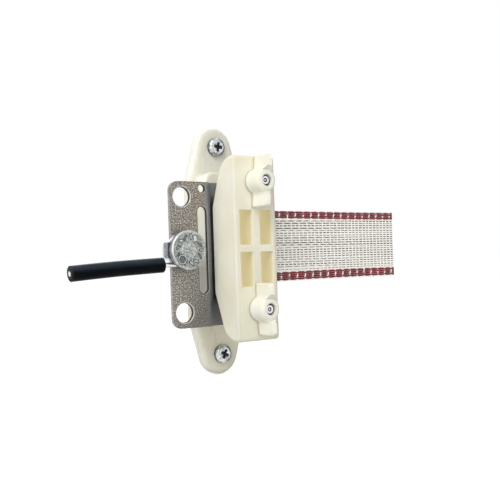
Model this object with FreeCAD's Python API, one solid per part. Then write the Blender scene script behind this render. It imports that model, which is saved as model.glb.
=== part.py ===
import FreeCAD, Part
import math
import os

# End insulator for 40 mm electric fence tape.
# X runs right along the tape, Z is up, and -Y points away from the post.
# The post's face is the plane Y = 0, and the origin is the centre of the flange's back face.

V = FreeCAD.Vector

# mounting base: flange and ears
flange_t = 6.0           # thickness of the flange and its ears
flange_half_w = 17.4     # half width at the waist
waist_half_h = 38.0      # half height of the straight waist
waist_round = 14.0       # radius where the waist turns into the ears
ear_r = 11.8             # radius of each ear's end
ear_spacing = 113.4      # between the centres of the two ears' ends
screw_spacing = 114.3    # between the two post screws
flange_edge_r = 3.4      # rounding of the flange's front edge
ear_hole_clear = 0.3     # radial clearance of a post screw's neck in its ear

# mounting base: raised pad that the tape is clamped on
pad_w = 28.6
pad_h = 81.2
pad_face = 17.0          # distance of the pad's face from the post
pad_rise = 1.4           # the pad, the bolts and the tape sit this far above the flange's centre
pad_corner_r = 5.0
pad_edge_r = 1.4
core_wall = 3.0          # side walls left by the coring
core_face = 4.0          # face wall left by the coring
core_rib = 2.4
core_rows = 4
core_corner_r = 1.2
boss_wall = 2.6          # plastic round each hexagon socket

# clamp bolts, M6
bolt_spacing = 65.7
bolt_r = 3.0
bolt_len = 45.0
bolt_end = 51.85         # distance of the free end from the post
bolt_chamfer = 1.0
hex_flats = 10.0
hex_head_t = 4.0
hex_clear = 0.15         # all round the head in its socket
bolt_base_clear = 0.1    # radial clearance in the base

# clamp block
block_w = 24.7           # at the gripping face; the long sides flare towards the front
block_front_w = 26.9
block_h = 96.2
block_back = 20.5        # distance of its gripping face from the post
block_front = 42.16
grip_h = 52.5            # height of the flat gripping face
end_slope = 23.3         # degrees by which the ends fall back from the gripping face
end_r = 14.0
end_flat = 1.0           # least flat left at each end beside the front's rounding
block_edge_r = 1.8       # round the front face
block_side_r = 2.0       # along the ends' sides
pocket_rib_x = 4.6       # upright rib between the pockets
pocket_rib_z = 3.6       # cross rib between the pockets
pocket_wall = 3.05
pocket_half_h = 19.85
pocket_depth = 16.0
pocket_draft = 0.35      # each wall leans in this much over the depth
block_hole_play = 1.5    # radial play of a bolt in the block
hang_gap = 0.1           # left where the block and the plate hang on the bolts
groove_count = 5
groove_w = 1.2
groove_depth = 0.5
groove_pitch = 4.2

# wing nuts
nut_gap = 0.15           # between a nut and the block
hub_r = 6.35
hub_front_r = 6.25
hub_h = 10.6
hub_edge_r = 2.4         # rounding of the hub's front
wing_span = 26.8
wing_t = 3.0
wing_depth = 12.1
wing_corner_r = 1.8      # in the side view
wing_tip_r = 0.7         # in the front view
wing_root_r = 2.0
wing_notch_r = (5.6, 7.6)  # the wings' fronts rise between these radii
wing_notch_drop = 0.9    # their lowest point, below the hub's face
insert_r = 4.4
insert_h = 6.8
insert_inset = 0.5       # the insert starts this far inside the nut
nut_bore_clear = 0.12    # radial clearance of the plastic bore on the bolt
thread_clear = 0.06      # radial clearance of the insert on the bolt
upper_nut_turn = 5.0     # degrees, as left when tightened
lower_nut_turn = -2.5

# contact plate
plate_t = 2.0
plate_h = 76.0
plate_left = 39.4        # from the centre line to the plate's left edge
plate_corner_r = 5.0
tab_face = 22.07         # distance of the free tab's front face from the post
joggle_start = 16.6      # from the centre line to the joggle's bends
joggle_end = 12.4
bend_r = 1.0
shoulder_gap = 1.5       # from the plate's full-height part to the bolts
tongue_h = 52.3
tongue_right = 11.0
tongue_corner_r = 2.0
terminal_x = 32.3
terminal_spacing = 59.9
terminal_r = 5.0
terminal_edge = 0.6
tie_hole_x = 20.0
tie_hole_down = 3.5      # from the plate's top edge
tie_hole_r = 2.1
plate_slot_x = 20.2
plate_slot_w = 5.8
plate_slot_h = 45.8
plate_slot_up = 2.2      # the slot's middle above the plate's middle
clamp_hole_up = 2.2      # the cable clamp's hole above the plate's middle

# fence tape
tape_w = 40.0
tape_t = 1.1
tape_left = 11.0         # cut end, left of the centre line
tape_right = 123.0
tape_gap = 0.1           # between the tape and the plate

# cable clamp, M8
disc_r = 10.25
disc_t = 3.3
disc_edge_r = 0.8
disc_boss_r = 4.3
disc_boss_h = 0.3
clamp_r = 4.0
clamp_chamfer = 1.25
clamp_len = 17.5
clamp_hole_clear = 0.35
jaw_t = 2.6
jaw_r = 9.7
jaw_gap = 0.5            # held open by the wire
tongue_reach = 10.2      # from the clamp's axis to the side tongue's end
side_tongue_z = (-3.9, 4.8)
side_tongue_clear = 0.3  # from the plate's left edge
side_tongue_round = 1.0
side_slit = 0.9          # the jaw's left side lies this much lower, which leaves a slit under the disc
side_slit_in = 3.6       # width of that low part
side_slit_lip = 1.1      # full height left along the tongue's top
side_tongue_rise = (6.2, 2.1)  # the arm's top climbs to this far from the axis, by this height
jaw_land_up = 1.0        # the land that meets the disc starts this far above the bolt
washer_r = 8.0
washer_t = 1.6
nut_flats = 13.0
nut_t = 6.5
nut_chamfer = 30.0       # degrees, on both faces' corners

# lead-out cable
wire_r = 1.25
wire_drop = 7.2          # below the clamp's axis
wire_end = 6.3           # the wire ends this far right of the clamp's axis
wire_seat_clear = 0.05
inner_r = 2.4
inner_show = 0.9
sheath_r = 3.85
sheath_start = 45.9      # from the centre line to the sheath's cut end
sheath_wall_clear = 0.05
lead_arc_share = 0.45     # of the shorter run, taken by each arc
lead_steps = ((0, 0, 0), (-15.5, -0.3, -0.6), (-33.5, -0.4, -1.6), (-49.0, -0.1, -2.7))

# post screws
screw_head_r = 5.1
screw_head_h = 3.2
screw_head_round = 1.8
screw_neck_r = 2.5       # plain neck inside the ear
screw_shank_r = 2.4
screw_reach = 20.0       # past the post's face
screw_tip = 6.0
recess_w = 1.7
recess_r = 2.7           # half the cross's width at the top
recess_tip_r = 1.5       # and at its bottom
recess_depth = 1.9
recess_core_r = 1.35     # the recess's round middle at the top
recess_core_tip_r = 0.8
recess_turns = (8.0, 25.0)  # degrees, upper and lower, as left when driven

ear_z = ear_spacing / 2
screw_z = screw_spacing / 2
bolt_z = (pad_rise + bolt_spacing / 2, pad_rise - bolt_spacing / 2)
block_z = pad_rise - (block_hole_play - hang_gap)
head_seat = bolt_end - bolt_len
hex_corner_r = (hex_flats / 2 + hex_clear) / math.cos(math.pi / 6)
plate_z = bolt_z[1] + bolt_r + hang_gap + tongue_h / 2
plate_back = pad_face
plate_front = plate_back + plate_t
tape_back = plate_front + tape_gap
clamp_z = plate_z + clamp_hole_up
disc_back = tab_face + jaw_t + jaw_gap
disc_front = disc_back + disc_t
wire_y = disc_back - wire_seat_clear - wire_r
wire_z = clamp_z - wire_drop
nut_back = block_front + nut_gap


def at(x, y_out, z):
    """A point y_out in front of the post's face."""
    return V(x, -y_out, z)


def rod(r, x, z, y_from, y_to):
    """A cylinder across the post's face, between two distances from the post."""
    return Part.makeCylinder(r, y_to - y_from, at(x, y_from, z), V(0, -1, 0))


def plate_of(wire, y_from, y_to):
    """The solid between two distances from the post, inside a wire drawn at the first one."""
    return Part.Face(wire).extrude(V(0, y_from - y_to, 0))


def rounded_rect(x0, x1, z0, z1, r, y_out):
    """A rectangle with rounded corners, parallel to the post's face."""
    c = r * math.sqrt(0.5)
    edges = []
    corners = ((x1 - r, z0 + r, 1, -1), (x1 - r, z1 - r, 1, 1),
               (x0 + r, z1 - r, -1, 1), (x0 + r, z0 + r, -1, -1))
    arcs = []
    for cx, cz, sx, sz in corners:
        ends = (at(cx + r * sx, y_out, cz), at(cx, y_out, cz + r * sz))
        if sx * sz < 0:
            ends = ends[::-1]
        arcs.append((ends[0], at(cx + c * sx, y_out, cz + c * sz), ends[1]))
    for i, (start, middle, end) in enumerate(arcs):
        edges.append(Part.Arc(start, middle, end).toShape())
        following = arcs[(i + 1) % 4][0]
        edges.append(Part.LineSegment(end, following).toShape())
    return Part.Wire(edges)


def slot_solid(x, z, w, h, y_from, y_to):
    """An upright slot with round ends."""
    middle = Part.makeBox(w, y_to - y_from, h - w, at(x - w / 2, y_to, z - h / 2 + w / 2))
    ends = [rod(w / 2, x, z + s * (h - w) / 2, y_from, y_to) for s in (1, -1)]
    return middle.fuse(ends).removeSplitter()


def hexagon(across_flats, x, z, y_from, y_to):
    """A hexagonal prism with two flats upright."""
    corner = across_flats / 2 / math.cos(math.pi / 6)
    points = [at(x + corner * math.sin(math.pi / 3 * i), y_from, z + corner * math.cos(math.pi / 3 * i))
              for i in range(7)]
    return plate_of(Part.makePolygon(points), y_from, y_to)


def spun(profile, x, z):
    """A solid of revolution about an axis across the post's face; profile holds (radius, distance)."""
    points = [at(x + r, y, z) for r, y in profile]
    face = Part.Face(Part.makePolygon(points + points[:1]))
    return face.revolve(at(x, 0, z), V(0, 1, 0), 360)


def edges_where(shape, test):
    """The edges that pass a test of their middle point and of themselves."""
    chosen = []
    for edge in shape.Edges:
        middle = edge.valueAt((edge.FirstParameter + edge.LastParameter) / 2)
        if test(middle, edge):
            chosen.append(edge)
    return chosen


def flange_outline():
    """Half circles at the ears, straight tapers to the waist, drawn on the post's face."""
    rise = ear_z - waist_half_h
    reach = math.hypot(rise, flange_half_w)
    lean = math.atan2(flange_half_w, rise) - math.asin(ear_r / reach)
    tx, tz = ear_r * math.cos(lean), ear_z + ear_r * math.sin(lean)
    right = [V(flange_half_w, 0, -waist_half_h), V(flange_half_w, 0, waist_half_h)]
    left = [V(-flange_half_w, 0, waist_half_h), V(-flange_half_w, 0, -waist_half_h)]
    ears = [V(tx, 0, tz), V(-tx, 0, tz), V(-tx, 0, -tz), V(tx, 0, -tz)]
    tops = [V(0, 0, ear_z + ear_r), V(0, 0, -ear_z - ear_r)]
    return Part.Wire([
        Part.LineSegment(right[0], right[1]).toShape(),
        Part.LineSegment(right[1], ears[0]).toShape(),
        Part.Arc(ears[0], tops[0], ears[1]).toShape(),
        Part.LineSegment(ears[1], left[0]).toShape(),
        Part.LineSegment(left[0], left[1]).toShape(),
        Part.LineSegment(left[1], ears[2]).toShape(),
        Part.Arc(ears[2], tops[1], ears[3]).toShape(),
        Part.LineSegment(ears[3], right[0]).toShape(),
    ])


def flange():
    body = plate_of(flange_outline(), 0, flange_t)
    waist = edges_where(body, lambda m, e: abs(abs(m.x) - flange_half_w) < 0.01
                        and abs(abs(m.z) - waist_half_h) < 0.01)
    body = body.makeFillet(waist_round, waist)
    rim = edges_where(body, lambda m, e: abs(m.y + flange_t) < 0.01)
    return body.makeFillet(flange_edge_r, rim)


def pad():
    wire = rounded_rect(-pad_w / 2, pad_w / 2, pad_rise - pad_h / 2, pad_rise + pad_h / 2, pad_corner_r, 0)
    body = plate_of(wire, 0, pad_face)
    rim = edges_where(body, lambda m, e: abs(m.y + pad_face) < 0.01)
    return body.makeFillet(pad_edge_r, rim)


def coring():
    """What the mould's cores leave open behind the pad: a grid of cells round the bolt bosses."""
    depth = pad_face - core_face
    x_in, x_out = core_rib / 2, pad_w / 2 - core_wall
    height = pad_h - 2 * core_wall
    cell_h = (height - (core_rows - 1) * core_rib) / core_rows
    low = pad_rise - height / 2
    cells = []
    for row in range(core_rows):
        z0 = low + row * (cell_h + core_rib)
        for side in (1, -1):
            x0, x1 = sorted((side * x_in, side * x_out))
            wire = rounded_rect(x0, x1, z0, z0 + cell_h, core_corner_r, -1)
            cells.append(plate_of(wire, -1, depth))
    bosses = [rod(hex_corner_r + boss_wall, 0, z, -2, pad_face) for z in bolt_z]
    return Part.makeCompound(cells).cut(bosses)


def mounting_base():
    body = flange().fuse(pad()).removeSplitter()
    holes = []
    for z in bolt_z:
        holes.append(hexagon(hex_flats + 2 * hex_clear, 0, z, -1, head_seat))
        holes.append(rod(bolt_r + bolt_base_clear, 0, z, 0, pad_face + 1))
    for z in (screw_z, -screw_z):
        holes.append(rod(screw_neck_r + ear_hole_clear, 0, z, -1, flange_t + 1))
    return body.cut([coring()] + holes)


def clamp_bolt(z):
    head = hexagon(hex_flats, 0, z, head_seat - hex_head_t, head_seat)
    shank = rod(bolt_r, 0, z, head_seat, bolt_end)
    tip = edges_where(shank, lambda m, e: abs(m.y + bolt_end) < 0.01)
    return head.fuse(shank.makeChamfer(bolt_chamfer, tip))


def block_profile():
    """The block's side outline: flat grip, sloped and rounded ends, flat front."""
    half, grip = block_h / 2, grip_h / 2
    slope = math.radians(end_slope)
    corner_y = block_back + (half - grip) * math.tan(slope)
    back = min(end_r * math.tan((math.pi / 2 - slope) / 2), block_front - corner_y - block_edge_r - end_flat)
    r = back / math.tan((math.pi / 2 - slope) / 2)
    arc_start = (corner_y - back * math.sin(slope), half - back * math.cos(slope))
    arc_end = (corner_y + back, half)
    centre = (corner_y + back, half - r)
    mid_angle = (math.pi / 2 + slope) / 2
    arc_mid = (centre[0] - r * math.cos(mid_angle), centre[1] + r * math.sin(mid_angle))
    ends = []
    for s in (1, -1):
        ends.append([at(-block_front_w / 2, y, block_z + s * z) for y, z in
                     ((block_back, grip), arc_start, arc_mid, arc_end, (block_front, half))])
    top, bottom = ends
    return Part.Wire([
        Part.LineSegment(top[0], top[1]).toShape(),
        Part.Arc(top[1], top[2], top[3]).toShape(),
        Part.LineSegment(top[3], top[4]).toShape(),
        Part.LineSegment(top[4], bottom[4]).toShape(),
        Part.LineSegment(bottom[4], bottom[3]).toShape(),
        Part.Arc(bottom[3], bottom[2], bottom[1]).toShape(),
        Part.LineSegment(bottom[1], bottom[0]).toShape(),
        Part.LineSegment(bottom[0], top[0]).toShape(),
    ])


def pocket(side, up):
    """One cored pocket, its walls drafted towards the bottom."""
    x_in, x_out = pocket_rib_x / 2, block_front_w / 2 - pocket_wall
    z_in, z_out = pocket_rib_z / 2, pocket_half_h
    rings = []
    for y, lean in ((block_front + 0.01, 0.0), (block_front - pocket_depth, pocket_draft)):
        xs, zs = (x_in + lean, x_out - lean), (z_in + lean, z_out - lean)
        corners = ((0, 0), (1, 0), (1, 1), (0, 1), (0, 0))
        rings.append(Part.makePolygon([at(side * xs[i], y, block_z + up * zs[j]) for i, j in corners]))
    return Part.makeLoft(rings, True, True)


def clamp_block():
    slope = (block_front_w - block_w) / 2 / (block_front - block_back)
    plan = [at(side * half, y, block_z - block_h) for side, half, y in
            ((-1, block_w / 2, block_back), (-1, block_front_w / 2, block_front),
             (1, block_front_w / 2, block_front), (1, block_w / 2, block_back), (-1, block_w / 2, block_back))]
    flared = Part.Face(Part.makePolygon(plan)).extrude(V(0, 0, 2 * block_h))
    body = Part.Face(block_profile()).extrude(V(block_front_w, 0, 0)).common(flared)
    sides = edges_where(body, lambda m, e: abs(abs(m.x) - block_w / 2 - slope * (-m.y - block_back)) < 0.01
                        and block_back + 0.5 < -m.y < block_front - 0.01)
    body = body.makeFillet(block_side_r, sides)
    rim = edges_where(body, lambda m, e: abs(m.y + block_front) < 0.01)
    body = body.makeFillet(block_edge_r, rim)
    cuts = [pocket(side, up) for side in (1, -1) for up in (1, -1)]
    for s in (1, -1):
        cuts.append(rod(bolt_r + block_hole_play, 0, block_z + s * bolt_spacing / 2,
                        block_back - 1, block_front + 1))
    for i in range(groove_count):
        x = (i - (groove_count - 1) / 2) * groove_pitch - groove_w / 2
        cuts.append(Part.makeBox(groove_w, groove_depth + 1, tape_w, at(x, block_back + groove_depth,
                                                                       pad_rise - tape_w / 2)))
    return body.cut(cuts)


def wing_plan(z, y_out):
    """Both wings seen from the front, flared by an arc where each meets the hub."""
    half_t, tip, soft = wing_t / 2, wing_span / 2, wing_tip_r
    flare_x = half_t + wing_root_r
    flare_z = math.sqrt((hub_front_r + wing_root_r) ** 2 - flare_x ** 2)
    share = hub_front_r / (hub_front_r + wing_root_r)
    c = soft * (1 - math.sqrt(0.5))
    root = (flare_x * share, flare_z * share)
    lean = math.atan2(flare_z, flare_x) / 2
    flare_mid = (flare_x - wing_root_r * math.cos(lean), flare_z - wing_root_r * math.sin(lean))
    quarter = (root, flare_mid, (half_t, flare_z), (half_t, tip - soft),
               (half_t - c, tip - c), (half_t - soft, tip))
    wings = []
    for up in (1, -1):
        right = [at(px, y_out, z + up * pz) for px, pz in quarter]
        left = [at(-px, y_out, z + up * pz) for px, pz in quarter]
        edges = [Part.LineSegment(at(0, y_out, z), right[0]), Part.Arc(right[0], right[1], right[2]),
                 Part.LineSegment(right[2], right[3]), Part.Arc(right[3], right[4], right[5]),
                 Part.LineSegment(right[5], left[5]), Part.Arc(left[5], left[4], left[3]),
                 Part.LineSegment(left[3], left[2]), Part.Arc(left[2], left[1], left[0]),
                 Part.LineSegment(left[0], at(0, y_out, z))]
        wings.append(Part.Wire([edge.toShape() for edge in edges]))
    return wings


def wing_nut(z, turn):
    """Hub with two wings, modelled upright and then turned."""
    back, front = nut_back, nut_back + hub_h
    hub = spun(((0, back), (hub_r, back), (hub_front_r, front), (0, front)), 0, z)
    rim = edges_where(hub, lambda m, e: abs(m.y + front) < 0.01)
    hub = hub.makeFillet(hub_edge_r, rim)
    upper, lower = (plate_of(wire, back, back + wing_depth) for wire in wing_plan(z, back))
    profile = Part.Wire(rounded_profile(z - wing_span / 2, z + wing_span / 2, back, back + wing_depth,
                                        wing_corner_r, 2 * hub_r))
    side = Part.Face(profile).extrude(V(4 * hub_r, 0, 0))
    inner, outer = wing_notch_r
    notch = spun(((0, front - wing_notch_drop), (inner, front - wing_notch_drop), (outer, back + wing_depth),
                  (outer, back + wing_depth + 1), (0, back + wing_depth + 1)), 0, z)
    body = hub.fuse([upper.common(side).cut(notch), lower.common(side).cut(notch)]).removeSplitter()
    socket = rod(insert_r, 0, z, back + insert_inset, back + insert_inset + insert_h)
    bore = rod(bolt_r + nut_bore_clear, 0, z, back - 1, front + 1)
    body = body.cut([socket, bore])
    body.rotate(V(0, 0, z), V(0, 1, 0), turn)
    return body


def rounded_profile(z0, z1, y0, y1, r, x_reach):
    """A wing's side outline: square at the block, rounded at its free corners."""
    c = r * (1 - math.sqrt(0.5))
    points = [at(-x_reach, y, z) for y, z in ((y0, z0), (y0, z1), (y1 - r, z1), (y1, z1 - r), (y1, z0 + r),
                                              (y1 - r, z0))]
    middles = [at(-x_reach, y1 - c, z1 - c), at(-x_reach, y1 - c, z0 + c)]
    return [
        Part.LineSegment(points[0], points[1]).toShape(),
        Part.LineSegment(points[1], points[2]).toShape(),
        Part.Arc(points[2], middles[0], points[3]).toShape(),
        Part.LineSegment(points[3], points[4]).toShape(),
        Part.Arc(points[4], middles[1], points[5]).toShape(),
        Part.LineSegment(points[5], points[0]).toShape(),
    ]


def nut_insert(z):
    start = nut_back + insert_inset
    return rod(insert_r, 0, z, start, start + insert_h).cut(rod(bolt_r + thread_clear, 0, z, start - 1,
                                                                start + insert_h + 1))


def plate_strip():
    """The plate's section, joggled back to the pad, drawn once and run up the plate's height."""
    low = plate_z - plate_h / 2
    ys = ((-plate_left, tab_face), (-joggle_start, tab_face), (-joggle_end, plate_front),
          (tongue_right, plate_front))
    front = [V(x, -y, low) for x, y in ys]
    back = [V(p.x, p.y + plate_t, p.z) for p in front][::-1]
    body = Part.Face(Part.makePolygon(front + back + front[:1])).extrude(V(0, 0, plate_h))
    outer = bend_r + plate_t
    for x, y, r in ((-joggle_start, tab_face, outer), (-joggle_end, plate_front, bend_r),
                    (-joggle_start, tab_face - plate_t, bend_r), (-joggle_end, plate_back, outer)):
        bend = edges_where(body, lambda m, e: abs(m.x - x) < 0.01 and abs(m.y + y) < 0.01)
        body = body.makeFillet(r, bend)
    return body


def plate_outline():
    """Full height left of the bolts, and a tongue between them."""
    shoulder = -bolt_r - shoulder_gap
    top, tongue = plate_h / 2, tongue_h / 2
    tall = plate_of(rounded_rect(-plate_left, shoulder + plate_corner_r, plate_z - top, plate_z + top,
                                 plate_corner_r, 0), 0, tab_face + 1)
    tall = tall.cut(Part.makeBox(2 * plate_corner_r, tab_face + 3, plate_h + 2,
                                 at(shoulder, tab_face + 2, plate_z - top - 1)))
    narrow = plate_of(rounded_rect(shoulder - 2 * tongue_corner_r, tongue_right,
                                   plate_z - tongue, plate_z + tongue, tongue_corner_r, 0), 0, tab_face + 1)
    return tall.fuse(narrow).removeSplitter()


def contact_plate():
    body = plate_strip().common(plate_outline())
    through = (pad_face - 1, tab_face + 1)
    cuts = [rod(terminal_r, -terminal_x, plate_z + s * terminal_spacing / 2, *through) for s in (1, -1)]
    cuts.append(rod(clamp_r + clamp_hole_clear, -terminal_x, clamp_z, *through))
    cuts.append(rod(tie_hole_r, -tie_hole_x, plate_z + plate_h / 2 - tie_hole_down, *through))
    cuts.append(slot_solid(-plate_slot_x, plate_z + plate_slot_up, plate_slot_w, plate_slot_h, *through))
    body = body.cut(cuts)
    rims = edges_where(body, lambda m, e: is_terminal_rim(m, e))
    return body.makeFillet(terminal_edge, rims)


def is_terminal_rim(m, edge):
    """True on the front edge of each terminal hole."""
    if abs(m.y + tab_face) > 0.01 or not hasattr(edge.Curve, "Radius"):
        return False
    return abs(edge.Curve.Radius - terminal_r) < 0.01 and abs(edge.Curve.Center.x + terminal_x) < 0.01


def fence_tape():
    return Part.makeBox(tape_left + tape_right, tape_t, tape_w,
                        at(-tape_left, tape_back + tape_t, pad_rise - tape_w / 2))


def wire_rod(r, x_from, x_to):
    return Part.makeCylinder(r, x_to - x_from, at(x_from, wire_y, wire_z), V(1, 0, 0))


def joint_clamp_bolt():
    x, z = -terminal_x, clamp_z
    disc = rod(disc_r, x, z, disc_back, disc_front)
    rim = edges_where(disc, lambda m, e: abs(m.y + disc_front) < 0.01)
    disc = disc.makeFillet(disc_edge_r, rim)
    boss = rod(disc_boss_r, x, z, disc_front - 1, disc_front + disc_boss_h)
    shank = rod(clamp_r, x, z, disc_back - clamp_len, disc_back)
    tip = edges_where(shank, lambda m, e: abs(m.y + disc_back - clamp_len) < 0.01)
    return disc.fuse([boss, shank.makeChamfer(clamp_chamfer, tip)]).removeSplitter()


def joint_clamp_jaw():
    """Round jaw on the plate; its side tongue turns back over the plate's left edge."""
    x, z = -terminal_x, clamp_z
    front = tab_face + jaw_t
    body = rod(jaw_r, x, z, tab_face, front)
    low, high = (z + side for side in side_tongue_z)
    end = x - tongue_reach
    edge = -plate_left - side_tongue_clear
    root, rise = side_tongue_rise
    outline = ((end, low), (end, high), (end + side_tongue_round + 0.1, high), (x - root, high + rise),
               (x, high + rise), (x, low), (end, low))
    arm = Part.Face(Part.makePolygon([at(px, front, pz) for px, pz in outline])).extrude(V(0, jaw_t, 0))
    hook = Part.makeBox(edge - end, jaw_t + plate_t, high - low, at(end, front, low))
    land = rod(jaw_r, x, z, front, disc_back).common(
        Part.makeBox(2 * jaw_r, jaw_gap, jaw_r, at(x - jaw_r, disc_back, z + clamp_r + jaw_land_up)))
    body = body.fuse([arm, hook, land]).removeSplitter()
    outer = edges_where(body, lambda m, e: abs(m.x - end) < 0.01 and e.Length < 2 * jaw_t + plate_t)
    body = body.makeFillet(side_tongue_round, outer)
    slit = Part.makeBox(side_slit_in + 1, side_slit + 1, jaw_r + 1 + side_tongue_z[1] - side_slit_lip,
                        at(end - 1, front + 1, z - jaw_r - 1))
    seat = wire_rod(wire_r + wire_seat_clear, x - tongue_reach - 1, x + jaw_r + 1)
    return body.cut([seat, slit, rod(clamp_r + clamp_hole_clear, x, z, tab_face - 1, disc_back + 1)])


def joint_clamp_washer():
    back = tab_face - plate_t
    ring = rod(washer_r, -terminal_x, clamp_z, back - washer_t, back)
    return ring.cut(rod(clamp_r + clamp_hole_clear, -terminal_x, clamp_z, 0, tab_face))


def joint_clamp_nut():
    seat = tab_face - plate_t - washer_t
    body = hexagon(nut_flats, -terminal_x, clamp_z, seat - nut_t, seat)
    corner = nut_flats / 2 / math.cos(math.pi / 6)
    drop = (corner - nut_flats / 2) * math.tan(math.radians(nut_chamfer))
    cone = spun(((0, seat - nut_t), (nut_flats / 2, seat - nut_t), (corner, seat - nut_t + drop),
                 (corner, seat - drop), (nut_flats / 2, seat), (0, seat)), -terminal_x, clamp_z)
    return body.common(cone).cut(rod(clamp_r + thread_clear, -terminal_x, clamp_z, 0, tab_face))


def lead_path():
    """Straight runs joined by tangent arcs, each arc as large as its runs allow."""
    points = [at(-sheath_start + dx, wire_y + dy, wire_z + dz) for dx, dy, dz in lead_steps]
    edges, start = [], points[0]
    for i in range(1, len(points) - 1):
        before, corner, after = points[i - 1], points[i], points[i + 1]
        a, b = before - corner, after - corner
        turn = math.pi - a.getAngle(b)
        back = lead_arc_share * min(a.Length, b.Length)
        print("lead radius", round(back / math.tan(turn / 2), 1))
        a.normalize()
        b.normalize()
        inward = a + b
        inward.normalize()
        r = back / math.tan(turn / 2)
        arc_from, arc_to = corner + a * back, corner + b * back
        arc_mid = corner + inward * (r / math.cos(turn / 2) - r)
        edges.append(Part.LineSegment(start, arc_from).toShape())
        edges.append(Part.Arc(arc_from, arc_mid, arc_to).toShape())
        start = arc_to
    edges.append(Part.LineSegment(start, points[-1]).toShape())
    return Part.Wire(edges)


def lead_tube(r):
    path = lead_path()
    start = path.Edges[0].valueAt(path.Edges[0].FirstParameter)
    heading = path.Edges[0].tangentAt(path.Edges[0].FirstParameter)
    section = Part.Wire([Part.makeCircle(r, start, heading)])
    return path.makePipeShell([section], True, True)


def lead_sheath():
    return lead_tube(sheath_r).cut(lead_tube(inner_r + sheath_wall_clear))


def lead_inner_insulation():
    show = wire_rod(inner_r, -sheath_start, -sheath_start + inner_show)
    whole = lead_tube(inner_r).fuse(show)
    straight = wire_rod(wire_r + sheath_wall_clear, -sheath_start - 1, -sheath_start + inner_show + 1)
    return whole.cut([lead_tube(wire_r + sheath_wall_clear), straight])


def lead_conductor():
    straight = wire_rod(wire_r, -sheath_start, -terminal_x + wire_end)
    return lead_tube(wire_r).fuse(straight)


def recess_blade(y_top, turn):
    """One bar of the cross recess, narrowing to its bottom."""
    lean = (recess_r - recess_tip_r) / recess_depth
    half_w = recess_w / 2
    rings = []
    for y in (y_top + 1, y_top - recess_depth):
        half = recess_tip_r + lean * (y - y_top + recess_depth)
        corners = ((-half, -half_w), (half, -half_w), (half, half_w), (-half, half_w), (-half, -half_w))
        rings.append(Part.makePolygon([at(x, y, z) for x, z in corners]))
    blade = Part.makeLoft(rings, True, True)
    blade.rotate(V(0, 0, 0), V(0, 1, 0), turn)
    return blade


def post_screw(z, turn):
    """Pan head with a cross recess, a plain neck, and a shank pointed past the post's face."""
    head_top = flange_t + screw_head_h
    stem = spun(((0, -screw_reach), (screw_shank_r, -screw_reach + screw_tip), (screw_shank_r, 0),
                 (screw_neck_r, 0), (screw_neck_r, flange_t), (0, flange_t)), 0, 0)
    head = rod(screw_head_r, 0, 0, flange_t, head_top)
    rim = edges_where(head, lambda m, e: abs(m.y + head_top) < 0.01)
    body = stem.fuse(head.makeFillet(screw_head_round, rim))
    floor = head_top - recess_depth
    core = spun(((0, floor), (recess_core_tip_r, floor), (recess_core_r, head_top),
                 (recess_core_r, head_top + 1), (0, head_top + 1)), 0, 0)
    body = body.cut([core] + [recess_blade(head_top, turn + quarter) for quarter in (0, 90)])
    body.translate(V(0, 0, z))
    return body


nodes = {
    "mounting_base": mounting_base(),
    "clamp_block": clamp_block(),
    "contact_plate": contact_plate(),
    "clamp_bolt_upper": clamp_bolt(bolt_z[0]),
    "clamp_bolt_lower": clamp_bolt(bolt_z[1]),
    "upper_wing_nut": wing_nut(bolt_z[0], upper_nut_turn),
    "lower_wing_nut": wing_nut(bolt_z[1], lower_nut_turn),
    "upper_nut_insert": nut_insert(bolt_z[0]),
    "lower_nut_insert": nut_insert(bolt_z[1]),
    "joint_clamp_bolt": joint_clamp_bolt(),
    "joint_clamp_jaw": joint_clamp_jaw(),
    "joint_clamp_washer": joint_clamp_washer(),
    "joint_clamp_nut": joint_clamp_nut(),
    "post_screw_upper": post_screw(screw_z, recess_turns[0]),
    "post_screw_lower": post_screw(-screw_z, recess_turns[1]),
    "fence_tape": fence_tape(),
    "lead_conductor": lead_conductor(),
    "lead_inner_insulation": lead_inner_insulation(),
    "lead_sheath": lead_sheath(),
}

os.makedirs("parts", exist_ok=True)
for name, shape in nodes.items():
    shape.exportStep(f"parts/{name}.step")
    print(name, "solids", len(shape.Solids), "valid", shape.isValid(), "volume", round(shape.Volume, 1))
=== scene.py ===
import math
import random

import bmesh
import bpy
from mathutils import Matrix, Vector


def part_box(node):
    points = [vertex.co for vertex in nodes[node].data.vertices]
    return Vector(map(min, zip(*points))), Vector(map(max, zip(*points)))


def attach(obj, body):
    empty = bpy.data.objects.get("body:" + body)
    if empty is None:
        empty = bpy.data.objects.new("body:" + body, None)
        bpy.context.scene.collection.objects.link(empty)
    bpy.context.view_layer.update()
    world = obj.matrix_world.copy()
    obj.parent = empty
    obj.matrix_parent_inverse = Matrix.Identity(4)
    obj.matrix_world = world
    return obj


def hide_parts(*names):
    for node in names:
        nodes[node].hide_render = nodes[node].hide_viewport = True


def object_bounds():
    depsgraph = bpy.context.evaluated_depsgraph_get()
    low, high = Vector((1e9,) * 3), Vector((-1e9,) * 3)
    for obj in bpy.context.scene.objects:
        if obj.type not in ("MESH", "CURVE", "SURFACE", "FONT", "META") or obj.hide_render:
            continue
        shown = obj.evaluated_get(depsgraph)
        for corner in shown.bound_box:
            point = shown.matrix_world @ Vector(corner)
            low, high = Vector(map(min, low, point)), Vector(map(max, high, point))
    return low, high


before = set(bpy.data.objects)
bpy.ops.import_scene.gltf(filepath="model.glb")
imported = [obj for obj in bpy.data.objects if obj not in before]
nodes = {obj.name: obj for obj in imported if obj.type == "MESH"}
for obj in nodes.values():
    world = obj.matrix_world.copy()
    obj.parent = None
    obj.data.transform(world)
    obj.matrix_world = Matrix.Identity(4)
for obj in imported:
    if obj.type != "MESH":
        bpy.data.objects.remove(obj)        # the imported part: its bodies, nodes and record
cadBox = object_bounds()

mm = 0.001


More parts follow.
